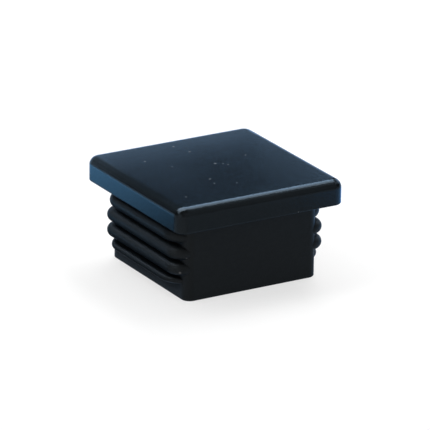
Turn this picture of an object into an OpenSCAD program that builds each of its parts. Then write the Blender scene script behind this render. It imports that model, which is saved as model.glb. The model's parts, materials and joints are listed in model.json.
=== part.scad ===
// Push-in end cap for a square box-section rail, moulded in one piece.
// A flat head closes the rail, and a hollow stem with ribs on two opposite faces grips it inside.
// Millimetres, +Z up. The stem's foot stands on z = 0, and the ribs face -X and +X.

/* [Head] */
// Side of the square head, flush with the outside of the rail
head_side = 40; // [38:0.5:60]
// Thickness of the head
head_t = 5.4; // [4.5:0.1:9]
// Radius of the head's four upright corners
head_corner_r = 2.4; // [1.5:0.1:5]
// Radius of the rounding along the head's top rim
rim_r = 1.9; // [0.5:0.1:3]
// Radius that breaks the head's lower edge
lower_edge_r = 0.3; // [0.1:0.05:0.6]

/* [Stem] */
// Side of the square stem
stem_side = 31.9; // [26:0.1:33]
// Length of the stem below the head
stem_l = 16.8; // [16:0.1:30]
// Radius of the stem's four upright corners
stem_corner_r = 2; // [1:0.1:4]
// Radius that breaks the edge of the stem's foot
foot_edge_r = 0.3; // [0.1:0.05:0.6]
// Thickness of the stem's walls
wall = 2; // [1.2:0.1:4]
// Thickness of the plate that closes the hollow at the top
top_wall = 3; // [1.5:0.1:4.4]
// Radius of the hollow's four upright corners
hollow_corner_r = 1; // [0.5:0.1:3]
// Radius along the upper edges of the hollow
hollow_edge_r = 0.8; // [0.3:0.1:2]

/* [Ribs] */
// How far every rib stands out from its face
rib_out = 2.6; // [2:0.1:3.5]
// Number of thick grip ribs on each ribbed face
grip_count = 3; // [1:1:3]
// Height of the lowest grip rib's middle above the foot
grip_first = 7; // [6.8:0.1:8.2]
// Distance from one grip rib's middle to the next
grip_pitch = 3.45; // [3:0.05:4]
// Radius of a grip rib's round nose
grip_nose_r = 1.4; // [0.6:0.05:1.5]
// Thickness of a grip rib at its root
grip_root_t = 3.1; // [2.9:0.05:3.3]
// Radius of the grip ribs' ends, seen from above
grip_end_r = 3.7; // [3:0.1:10]
// Radius of the ends of the grip rib next to the head, seen from above
top_end_r = 5.2; // [3:0.1:10]
// Height of the thin lead rib's middle, which enters the rail first, above the foot
lead_z = 4.15; // [2:0.05:4.4]
// Radius of the lead rib's round nose
lead_nose_r = 0.7; // [0.4:0.05:0.85]
// Thickness of the lead rib at its root
lead_root_t = 1.75; // [1.5:0.05:2]
// Radius of the lead rib's ends, seen from above
lead_end_r = 6.5; // [3:0.1:12]

/* [Hidden] */
$fn = 64;

// Height over all
total_h = stem_l + head_t;
// Smallest flat left beside a rounding
least_flat = 0.1;
// Rounding of the top rim, held inside the head's corners and thickness
rim = min(rim_r, head_corner_r - least_flat, head_t - lower_edge_r - least_flat);
// Height to which the stem is carried up into the head
stem_sink = head_t / 2;
// Depth and width of the hollow
hollow_h = total_h - top_wall;
hollow_side = stem_side - 2 * wall;
// Rounding of the hollow's upper edges, held inside its corners
hollow_edge = min(hollow_edge_r, hollow_corner_r - least_flat);
// Length by which the hollow is cut past the foot, clear of the cut's own rounding
cut_past = 2 * hollow_edge;
// Depth to which a rib's root is carried into the stem's wall
rib_sink = wall / 2;
// Gap from a rib's end to the plane of the stem's plain face
rib_end_inset = 0.15;
// Turn of a rib's rounded end, past a right angle so that it runs into the stem's corner
rib_end_turn = 120;

// A quarter disc in the +X +Y quadrant
module quarter_disc(r) {
    intersection() {
        circle(r);
        square(r);
    }
}

// Half section of a block, w wide and h high, with its outer edges rounded at the foot and the top
module edge_section(w, h, low_r, top_r) {
    polygon([
        [0, 0], [w - low_r, 0], [w - low_r, low_r], [w, low_r],
        [w, h - top_r], [w - top_r, h - top_r], [w - top_r, h], [0, h]
    ]);
    translate([w - top_r, h - top_r]) quarter_disc(top_r);
    translate([w - low_r, low_r]) mirror([0, 1]) quarter_disc(low_r);
}

// A straight bar along X with the rounded section on both sides
module edge_bar(side, length, h, low_r, top_r) {
    rotate([90, 0, 90]) linear_extrude(length, center = true) {
        edge_section(side / 2, h, low_r, top_r);
        mirror([1, 0]) edge_section(side / 2, h, low_r, top_r);
    }
}

// A square block on z = 0 with rounded upright corners and edges rounded all round
module soft_block(side, h, corner_r, low_r, top_r) {
    straight = side - 2 * corner_r;
    for (turn = [0, 90]) {
        rotate(turn) edge_bar(side, straight, h, low_r, top_r);
    }
    for (turn = [0 : 90 : 270]) {
        rotate(turn) translate([straight / 2, straight / 2])
            rotate_extrude(angle = 90) edge_section(corner_r, h, low_r, top_r);
    }
}

// A half disc on the +X side of the origin
module half_disc(r) {
    intersection() {
        circle(r);
        translate([0, -2 * r]) square([2 * r, 4 * r]);
    }
}

// Section of a rib that reaches out to the given distance: a root with drafted flanks and a round nose
module rib_section(reach, root_t, nose_r) {
    root = reach - rib_out;
    nose = reach - nose_r;
    polygon([
        [root - rib_sink, root_t / 2], [root, root_t / 2], [nose, nose_r],
        [nose, -nose_r], [root, -root_t / 2], [root - rib_sink, -root_t / 2]
    ]);
    translate([nose, 0]) half_disc(nose_r);
}

// One rib on the +X face, its middle at z = 0, with both ends turned into the stem's corners
module rib(root_t, nose_r, end_r) {
    turn_r = max(end_r, rib_out + rib_sink);
    reach = stem_side / 2 + rib_out;
    straight = stem_side - 2 * (rib_end_inset + turn_r);
    rotate([90, 0, 0]) linear_extrude(straight, center = true) rib_section(reach, root_t, nose_r);
    for (end = [0, 1]) {
        mirror([0, end, 0]) translate([reach - turn_r, straight / 2, 0])
            rotate_extrude(angle = rib_end_turn) rib_section(turn_r, root_t, nose_r);
    }
}

// The ribs of the +X face: a thin lead rib near the foot and thick grip ribs above it
module rib_row() {
    translate([0, 0, lead_z]) rib(lead_root_t, lead_nose_r, lead_end_r);
    for (i = [0 : grip_count - 1]) {
        end_r = i == grip_count - 1 ? top_end_r : grip_end_r;
        translate([0, 0, grip_first + i * grip_pitch]) rib(grip_root_t, grip_nose_r, end_r);
    }
}

// The whole cap: head, stem and ribs in one piece, hollow from the foot up
module end_cap() {
    color([0.11, 0.13, 0.15]) difference() {
        union() {
            translate([0, 0, stem_l]) soft_block(head_side, head_t, head_corner_r, lower_edge_r, rim);
            soft_block(stem_side, stem_l + stem_sink, stem_corner_r, foot_edge_r, foot_edge_r);
            for (side = [0, 1]) {
                mirror([side, 0, 0]) rib_row();
            }
        }
        translate([0, 0, -cut_past])
            soft_block(hollow_side, hollow_h + cut_past, hollow_corner_r, hollow_edge, hollow_edge);
    }
}

end_cap();
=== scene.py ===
"""Looks of a square rail end cap: one piece of satin black moulded plastic on a white studio floor.

Everything is in metres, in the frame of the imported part: the cap stands on z = 0, its head is at the top,
its ribbed faces look along -X and +X, and the camera stands at the front left.
"""
import json
import math

import bpy
from mathutils import Matrix, Vector


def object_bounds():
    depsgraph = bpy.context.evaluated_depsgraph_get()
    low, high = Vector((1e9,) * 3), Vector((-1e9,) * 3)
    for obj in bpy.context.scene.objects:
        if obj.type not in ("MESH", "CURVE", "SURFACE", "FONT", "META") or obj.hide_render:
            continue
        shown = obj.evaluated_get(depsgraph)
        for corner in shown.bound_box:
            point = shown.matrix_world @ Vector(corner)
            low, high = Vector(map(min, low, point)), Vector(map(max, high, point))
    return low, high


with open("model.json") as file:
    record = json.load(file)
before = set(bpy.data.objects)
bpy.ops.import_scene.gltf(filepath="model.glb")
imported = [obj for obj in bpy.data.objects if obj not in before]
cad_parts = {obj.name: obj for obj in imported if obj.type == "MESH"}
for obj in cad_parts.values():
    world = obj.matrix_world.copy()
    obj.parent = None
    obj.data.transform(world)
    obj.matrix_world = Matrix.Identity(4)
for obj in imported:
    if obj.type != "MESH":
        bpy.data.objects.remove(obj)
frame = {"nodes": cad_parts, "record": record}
cad_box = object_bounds()
mounts = {mount["name"]: mount for mount in frame["record"]["mounts"]}

MM = 0.001
WHITE = (1.0, 1.0, 1.0)

# The camera, fitted to the cap's outline in the 430 by 430 photograph
IMAGE_SIDE = 430
CAMERA_AZIMUTH = math.radians(-30.52)
CAMERA_ELEVATION = math.radians(20.2)
CAMERA_ROLL = math.radians(0.632)
CAMERA_DISTANCE = 970.7 * MM
CAMERA_OFF_RIGHT = 0.3 * MM
CAMERA_OFF_UP = 10.745 * MM
CLIP_NEAR = 0.05
CLIP_FAR = 50.0
SENSOR_WIDTH = 36.0
LENS = 384.1

# Specks on the cap, mostly dust and a few painted highlights: the pixel of the photograph where each speck
# shows, and the speck's radius
DUST_AND_GLINT_PIXELS = (
    (173.4, 146.6, 0.21 * MM),
    (189.7, 151.7, 0.24 * MM),
    (215.2, 163.5, 0.28 * MM),
    (223.0, 163.7, 0.15 * MM),
    (228.3, 164.4, 0.15 * MM),
    (144.9, 161.5, 0.22 * MM),
    (172.0, 166.7, 0.15 * MM),
    (245.5, 155.0, 0.18 * MM),
    (210.0, 179.0, 0.23 * MM),
    (214.3, 183.3, 0.17 * MM),
    (236.8, 182.8, 0.16 * MM),
    (186.0, 197.0, 0.19 * MM),
    # The last three specks, on the head's lower edge and on the stem's front corner, are painted highlights,
    # not dust
    (298.5, 212.0, 0.12 * MM),
    (180.0, 273.0, 0.27 * MM),
    (186.5, 258.3, 0.14 * MM),
)
DUST_AND_GLINT_COLOUR = (0.085, 0.082, 0.080)
DUST_AND_GLINT_HEIGHT = 0.02 * MM
# A speck is whole up to the first share of its radius and gone from the second one on
DUST_AND_GLINT_FADE = (0.2, 1.5)
# A fine noise shifts the specks' edges about
DUST_AND_GLINT_GRAIN = 0.2 * MM
DUST_AND_GLINT_WOBBLE = 0.12 * MM

# The plastic: one black all over under a blue sheen, satin on the head and duller on the stem
BLACK = (0.0064, 0.0058, 0.0050)
PLASTIC_IOR = 1.5
PLASTIC_SPECULAR = 0.15
HEAD_ROUGHNESS = 0.18
STEM_ROUGHNESS = 0.55
SHEEN_TINT = (0.66, 0.83, 1.0)
SHEEN_IOR = 1.03
SHEEN_ROUGHNESS = 0.18
HEAD_SHEEN = 1.0
STEM_SHEEN = 0.75

# The stem ends where the rail's end is seated, and just below that its finish turns into the head's
STEM_TOP = mounts["rail_end_seat"]["pos_m"][2]
STEM_FADE = 0.4 * MM

# Unevenness of the plastic: wide clouds of tone and gloss, a fine mould grain and a coarser pebble
CLOUD = 14 * MM
CLOUD_TONE = 0.14
CLOUD_ROUGHNESS = 0.02
GRAIN = 0.45 * MM
GRAIN_HEIGHT = 0.028 * MM
GRAIN_ROUGHNESS = 0.04
PEBBLE = 0.9 * MM
PEBBLE_HEIGHT = 0.012 * MM
# Most values of a noise lie between these two
NOISE_RANGE = (0.3, 0.7)

# The floor: a share of its white is its own glow, which keeps the shadow light and grows away from the cap
FLOOR_HALF = 14.0
FLOOR_WHITE = (0.85, 0.85, 0.85)
GLOW_NEAR = 0.3
GLOW_NEAR_SHARE = 0.65
GLOW_FAR = 2.0
GLOW_FAR_SHARE = 1.0

# The room: white where a direction rises less than the first value, grey where it rises more than the second
HORIZON = (0.02, 0.05)
ROOM_GREY = 0.09

# Cards that show only in the cap's reflections: their height above the floor, and the blue ones' colours
CARD_LIFT = 0.3 * MM
HIGH_CARD_LIFT = 0.30
COOL_LEFT = (0.42, 0.76, 0.97)
COOL_RIGHT = (0.50, 0.74, 1.0)

# Numbers of a mix node's colour sockets, which share their names with its other sockets
MIX_FACTOR = 0
MIX_FIRST = 6
MIX_SECOND = 7
MIX_RESULT = 2


def camera_axes():
    """The camera's right, up and backward directions."""
    flat = math.cos(CAMERA_ELEVATION)
    back = Vector((
        math.sin(CAMERA_AZIMUTH) * flat,
        -math.cos(CAMERA_AZIMUTH) * flat,
        math.sin(CAMERA_ELEVATION),
    ))
    level = Vector((math.cos(CAMERA_AZIMUTH), math.sin(CAMERA_AZIMUTH), 0))
    upright = back.cross(level)
    right = level * math.cos(CAMERA_ROLL) + upright * math.sin(CAMERA_ROLL)
    up = upright * math.cos(CAMERA_ROLL) - level * math.sin(CAMERA_ROLL)
    return right, up, back


def camera_place():
    """The point where the camera stands."""
    right, up, back = camera_axes()
    return right * CAMERA_OFF_RIGHT + up * CAMERA_OFF_UP + back * CAMERA_DISTANCE


def make_camera():
    right, up, back = camera_axes()
    data = bpy.data.cameras.new("camera")
    data.sensor_width = SENSOR_WIDTH
    data.lens = LENS
    data.clip_start = CLIP_NEAR
    data.clip_end = CLIP_FAR
    camera = bpy.data.objects.new("camera", data)
    turn = Matrix((right, up, back)).transposed().to_4x4()
    camera.matrix_world = Matrix.Translation(camera_place()) @ turn
    bpy.context.scene.collection.objects.link(camera)
    bpy.context.scene.camera = camera


def seen_at(piece, pixel_x, pixel_y):
    """The point of the piece that shows at a pixel of the photograph."""
    right, up, back = camera_axes()
    pixel = SENSOR_WIDTH / LENS / IMAGE_SIDE
    across = (pixel_x - IMAGE_SIDE / 2) * pixel
    above = (IMAGE_SIDE / 2 - pixel_y) * pixel
    ray = (right * across + up * above - back).normalized()
    hit, place, _, _ = piece.ray_cast(camera_place(), ray)
    if not hit:
        raise ValueError(f"no part of the piece shows at pixel {pixel_x}, {pixel_y}")
    return place


class Nodes:
    """A short way to write a node tree, with colours given without their alpha."""

    def __init__(self, owner):
        owner.use_nodes = True
        self.tree = owner.node_tree
        self.tree.nodes.clear()

    def add(self, kind, settings=None, **inputs):
        """A new node; the spaces in its inputs' names are written as underscores."""
        node = self.tree.nodes.new(kind)
        for name, value in (settings or {}).items():
            setattr(node, name, value)
        for name, value in inputs.items():
            self.put(node, name.replace("_", " "), value)
        return node

    def put(self, node, name, value):
        """Sets an input to a value, or links it to another node's output."""
        socket = node.inputs[name]
        if isinstance(value, bpy.types.NodeSocket):
            self.tree.links.new(value, socket)
        elif socket.type == "RGBA":
            socket.default_value = (*value, 1.0)
        else:
            socket.default_value = value

    def math(self, operation, first, second):
        node = self.add("ShaderNodeMath", {"operation": operation})
        self.put(node, 0, first)
        self.put(node, 1, second)
        return node.outputs[0]

    def vector(self, operation, *values):
        node = self.add("ShaderNodeVectorMath", {"operation": operation})
        for index, value in enumerate(values):
            self.put(node, index, value)
        return node.outputs

    def noise(self, place, size, detail=2.0, roughness=0.5):
        """A noise whose lumps are about as large as the size given."""
        return self.add(
            "ShaderNodeTexNoise", Vector=place, Scale=1 / size, Detail=detail, Roughness=roughness,
        ).outputs

    def remap(self, value, low, high, to_low, to_high, curve="LINEAR"):
        node = self.add("ShaderNodeMapRange", {"interpolation_type": curve}, Value=value)
        for name, number in (("From Min", low), ("From Max", high), ("To Min", to_low), ("To Max", to_high)):
            self.put(node, name, number)
        return node.outputs["Result"]

    def swing(self, noise, reach):
        """A noise turned into a swing from -reach to +reach."""
        return self.remap(noise, *NOISE_RANGE, -reach, reach)

    def blend(self, factor, first, second):
        """A mix of two colours."""
        node = self.add("ShaderNodeMix", {"data_type": "RGBA"})
        self.put(node, MIX_FACTOR, factor)
        self.put(node, MIX_FIRST, first)
        self.put(node, MIX_SECOND, second)
        return node.outputs[MIX_RESULT]

    def finish(self, shader, kind="ShaderNodeOutputMaterial"):
        output = self.add(kind)
        self.put(output, "Surface", shader.outputs[0])


def dust_and_glints(nodes, place, specks):
    """How much the specks, dust and painted highlights alike, cover a point: 1 on a speck, 0 off it."""
    wobble = nodes.noise(place, DUST_AND_GLINT_GRAIN, detail=1.0)["Color"]
    shifted = nodes.vector("MULTIPLY_ADD", wobble, (DUST_AND_GLINT_WOBBLE,) * 3, place)["Vector"]
    middle = Vector((DUST_AND_GLINT_WOBBLE / 2,) * 3)
    cover = 0.0
    for spot, radius in specks:
        apart = nodes.vector("DISTANCE", shifted, spot + middle)["Value"]
        near = nodes.remap(apart, radius * DUST_AND_GLINT_FADE[0], radius * DUST_AND_GLINT_FADE[1], 1.0, 0.0, "SMOOTHSTEP")
        cover = nodes.math("MAXIMUM", near, cover)
    return cover


def plastic(specks):
    """Black moulded plastic with a fine mould grain, faint clouding and a few light specks, most of them
    dust and a few of them painted highlights.
    """
    material = bpy.data.materials.new("moulded_plastic")
    nodes = Nodes(material)
    place = nodes.add("ShaderNodeTexCoord").outputs["Object"]
    height = nodes.add("ShaderNodeSeparateXYZ", Vector=place).outputs["Z"]
    head = nodes.remap(height, STEM_TOP - STEM_FADE, STEM_TOP, 0.0, 1.0)
    clouds = nodes.noise(place, CLOUD, detail=3.0)["Fac"]
    grain = nodes.noise(place, GRAIN, roughness=0.6)["Fac"]
    pebble = nodes.noise(place, PEBBLE)["Fac"]
    dust_and_glint_cover = dust_and_glints(nodes, place, specks)

    tone = nodes.math("ADD", nodes.swing(clouds, CLOUD_TONE), 1.0)
    black = nodes.vector("MULTIPLY", BLACK, tone)["Vector"]
    colour = nodes.blend(dust_and_glint_cover, black, DUST_AND_GLINT_COLOUR)

    rough = nodes.remap(head, 0.0, 1.0, STEM_ROUGHNESS, HEAD_ROUGHNESS)
    rough = nodes.math("ADD", rough, nodes.swing(grain, GRAIN_ROUGHNESS))
    rough = nodes.math("ADD", rough, nodes.swing(clouds, CLOUD_ROUGHNESS))
    rough = nodes.math("MAXIMUM", rough, dust_and_glint_cover)

    relief = nodes.math("MULTIPLY", grain, GRAIN_HEIGHT)
    relief = nodes.math("ADD", relief, nodes.math("MULTIPLY", pebble, PEBBLE_HEIGHT))
    relief = nodes.math("ADD", relief, nodes.math("MULTIPLY", dust_and_glint_cover, DUST_AND_GLINT_HEIGHT))
    bump = nodes.add("ShaderNodeBump", Strength=1.0, Distance=1.0, Height=relief)

    sheen = nodes.remap(head, 0.0, 1.0, STEM_SHEEN, HEAD_SHEEN)
    sheen = nodes.math("MULTIPLY", sheen, nodes.math("SUBTRACT", 1.0, dust_and_glint_cover))
    nodes.finish(nodes.add(
        "ShaderNodeBsdfPrincipled",
        Base_Color=colour, Roughness=rough, Normal=bump.outputs["Normal"],
        IOR=PLASTIC_IOR, Specular_IOR_Level=PLASTIC_SPECULAR,
        Coat_Weight=sheen, Coat_Roughness=SHEEN_ROUGHNESS, Coat_IOR=SHEEN_IOR, Coat_Tint=SHEEN_TINT,
    ))
    return material


def flat_sheet(name, x_range, y_range, z, material):
    """A flat sheet that isn't part of the object."""
    (x0, x1), (y0, y1) = x_range, y_range
    mesh = bpy.data.meshes.new(name)
    mesh.from_pydata([(x0, y0, z), (x1, y0, z), (x1, y1, z), (x0, y1, z)], [], [(0, 1, 2, 3)])
    mesh.materials.append(material)
    sheet = bpy.data.objects.new(name, mesh)
    bpy.context.scene.collection.objects.link(sheet)
    return sheet


def floor_white():
    """White that keeps the cap's shadow: part of it is the floor's own glow, and part is lit."""
    material = bpy.data.materials.new("floor_white")
    nodes = Nodes(material)
    ray = nodes.add("ShaderNodeLightPath").outputs
    seen = nodes.math("MAXIMUM", ray["Is Camera Ray"], ray["Is Glossy Ray"])
    seen = nodes.math("MAXIMUM", seen, ray["Is Transmission Ray"])
    place = nodes.add("ShaderNodeTexCoord").outputs["Object"]
    apart = nodes.vector("LENGTH", place)["Value"]
    share = nodes.remap(apart, GLOW_NEAR, GLOW_FAR, GLOW_NEAR_SHARE, GLOW_FAR_SHARE)
    lit = nodes.add("ShaderNodeBsdfDiffuse", Color=FLOOR_WHITE)
    glow = nodes.add("ShaderNodeEmission", Color=WHITE, Strength=1.0)
    mix = nodes.add("ShaderNodeMixShader")
    nodes.put(mix, 0, nodes.math("MULTIPLY", seen, share))
    nodes.put(mix, 1, lit.outputs[0])
    nodes.put(mix, 2, glow.outputs[0])
    nodes.finish(mix)
    return material


def make_floor():
    whole = (-FLOOR_HALF, FLOOR_HALF)
    flat_sheet("floor", whole, whole, 0, floor_white())


def card(name, colour, x_range, y_range, glow, z=CARD_LIFT):
    """A level card that shows only in reflections; glow is its strength at the front and back edges."""
    material = bpy.data.materials.new(name)
    nodes = Nodes(material)
    place = nodes.add("ShaderNodeTexCoord").outputs["Object"]
    depth = nodes.add("ShaderNodeSeparateXYZ", Vector=place).outputs["Y"]
    strength = nodes.remap(depth, *y_range, *glow)
    nodes.finish(nodes.add("ShaderNodeEmission", Color=colour, Strength=strength))
    sheet = flat_sheet(name, x_range, y_range, z, material)
    sheet.visible_camera = False
    sheet.visible_diffuse = False
    sheet.visible_shadow = False


def make_cards():
    # Blue for the left side of the head, brighter towards the back
    card("cool_left", COOL_LEFT, x_range=(-0.080, -0.034), y_range=(0.016, 0.115), glow=(0.1, 6.0))
    # Nearly black for the left ribs: painted shade, standing in for the shadowed floor beside them that the
    # ribs mirror
    card("dark_left", WHITE, x_range=(-0.034, -0.0175), y_range=(-0.009, 0.065), glow=(0.06, 0.06))
    # Grey for the front
    card("grey_front", WHITE, x_range=(-0.030, 0.042), y_range=(-0.110, -0.017), glow=(0.82, 0.82))
    # Blue for the front's right end
    card("cool_right", COOL_RIGHT, x_range=(0.042, 0.110), y_range=(-0.100, 0.020), glow=(2.0, 2.0))
    # White for the glint on the front corner of the rim
    card("high_card", WHITE, x_range=(-0.20, 0.085), y_range=(-0.025, 0.23), glow=(13.0, 13.0),
         z=HIGH_CARD_LIFT)


def lamp(name, place, facing, along, size, radiance):
    """A white rectangular lamp, its width lying along one direction, as bright as its radiance says."""
    data = bpy.data.lights.new(name, "AREA")
    data.shape = "RECTANGLE"
    data.size, data.size_y = size
    data.energy = radiance * math.pi * data.size * data.size_y
    back = -Vector(facing).normalized()
    across = Vector(along)
    across = (across - back * back.dot(across)).normalized()
    turn = Matrix((across, back.cross(across), back)).transposed().to_4x4()
    light = bpy.data.objects.new(name, data)
    light.matrix_world = Matrix.Translation(place) @ turn
    light.visible_camera = False
    bpy.context.scene.collection.objects.link(light)


def softbox(name, direction, distance, along, size, radiance):
    """A lamp that stands off from the cap in a direction and faces it."""
    middle = (cad_box[0] + cad_box[1]) / 2
    toward = Vector(direction).normalized()
    lamp(name, middle + toward * distance, -toward, along, size, radiance)


def make_lights():
    # Large soft lamps above and around the cap
    softbox("key", direction=(0.465, 0.363, 0.807), distance=0.9,
            along=(0, -0.91, 0.42), size=(0.76, 0.26), radiance=8.2)
    softbox("overhead", direction=(0.0, 0.44, 0.90), distance=1.0,
            along=(1, 0, 0), size=(0.62, 0.52), radiance=3.6)
    softbox("upper_left", direction=(-0.60, 0.20, 0.77), distance=1.0,
            along=(-0.71, -0.42, -0.47), size=(0.74, 0.30), radiance=5.8)
    softbox("high_right", direction=(0.66, -0.16, 0.73), distance=0.9,
            along=(0.2, 1, 0), size=(0.56, 0.46), radiance=1.6)
    softbox("front_fill", direction=(0.15, -0.85, 0.5), distance=1.2,
            along=(1, 0.18, 0), size=(1.8, 1.0), radiance=0.62)
    softbox("left_fill", direction=(-0.9, -0.35, 0.25), distance=1.2,
            along=(0.35, -0.9, 0), size=(1.0, 0.7), radiance=1.1)
    softbox("right_low", direction=(0.86, 0.32, 0.34), distance=0.6,
            along=(0, 1, 0), size=(0.4, 0.26), radiance=2.0)
    softbox("back_left", direction=(-0.32, 0.82, 0.45), distance=0.8,
            along=(0.93, 0.36, 0), size=(0.5, 0.45), radiance=0.2)
    # Small lamps close to the cap, which its flat top mirrors
    lamp("back_card", place=(0.0, 0.06, 0.029), facing=(0, -1, 0),
         along=(1, 0, 0), size=(0.10, 0.022), radiance=1.27)
    lamp("corner_card", place=(-0.016, 0.06, 0.047), facing=(0, -1, 0),
         along=(1, 0, 0), size=(0.044, 0.014), radiance=0.95)
    lamp("side_card", place=(0.06, 0.060, 0.036), facing=(-1, 0, 0),
         along=(0, 1, 0), size=(0.040, 0.032), radiance=0.80)


def make_room():
    """A grey room with a white horizon, which the white floor runs into."""
    world = bpy.data.worlds.new("room")
    nodes = Nodes(world)
    toward = nodes.add("ShaderNodeTexCoord").outputs["Generated"]
    height = nodes.add("ShaderNodeSeparateXYZ", Vector=toward).outputs["Z"]
    strength = nodes.remap(height, *HORIZON, 1.0, ROOM_GREY)
    room = nodes.add("ShaderNodeBackground", Color=WHITE, Strength=strength)
    nodes.finish(room, "ShaderNodeOutputWorld")
    bpy.context.scene.world = world


bpy.context.scene.view_settings.view_transform = "Standard"
make_camera()
make_floor()
make_cards()
make_lights()
make_room()
cap = frame["nodes"]["end_cap"]
dust_and_glint_specks = [(seen_at(cap, x, y), radius) for x, y, radius in DUST_AND_GLINT_PIXELS]
cap.material_slots[0].material = plastic(dust_and_glint_specks)
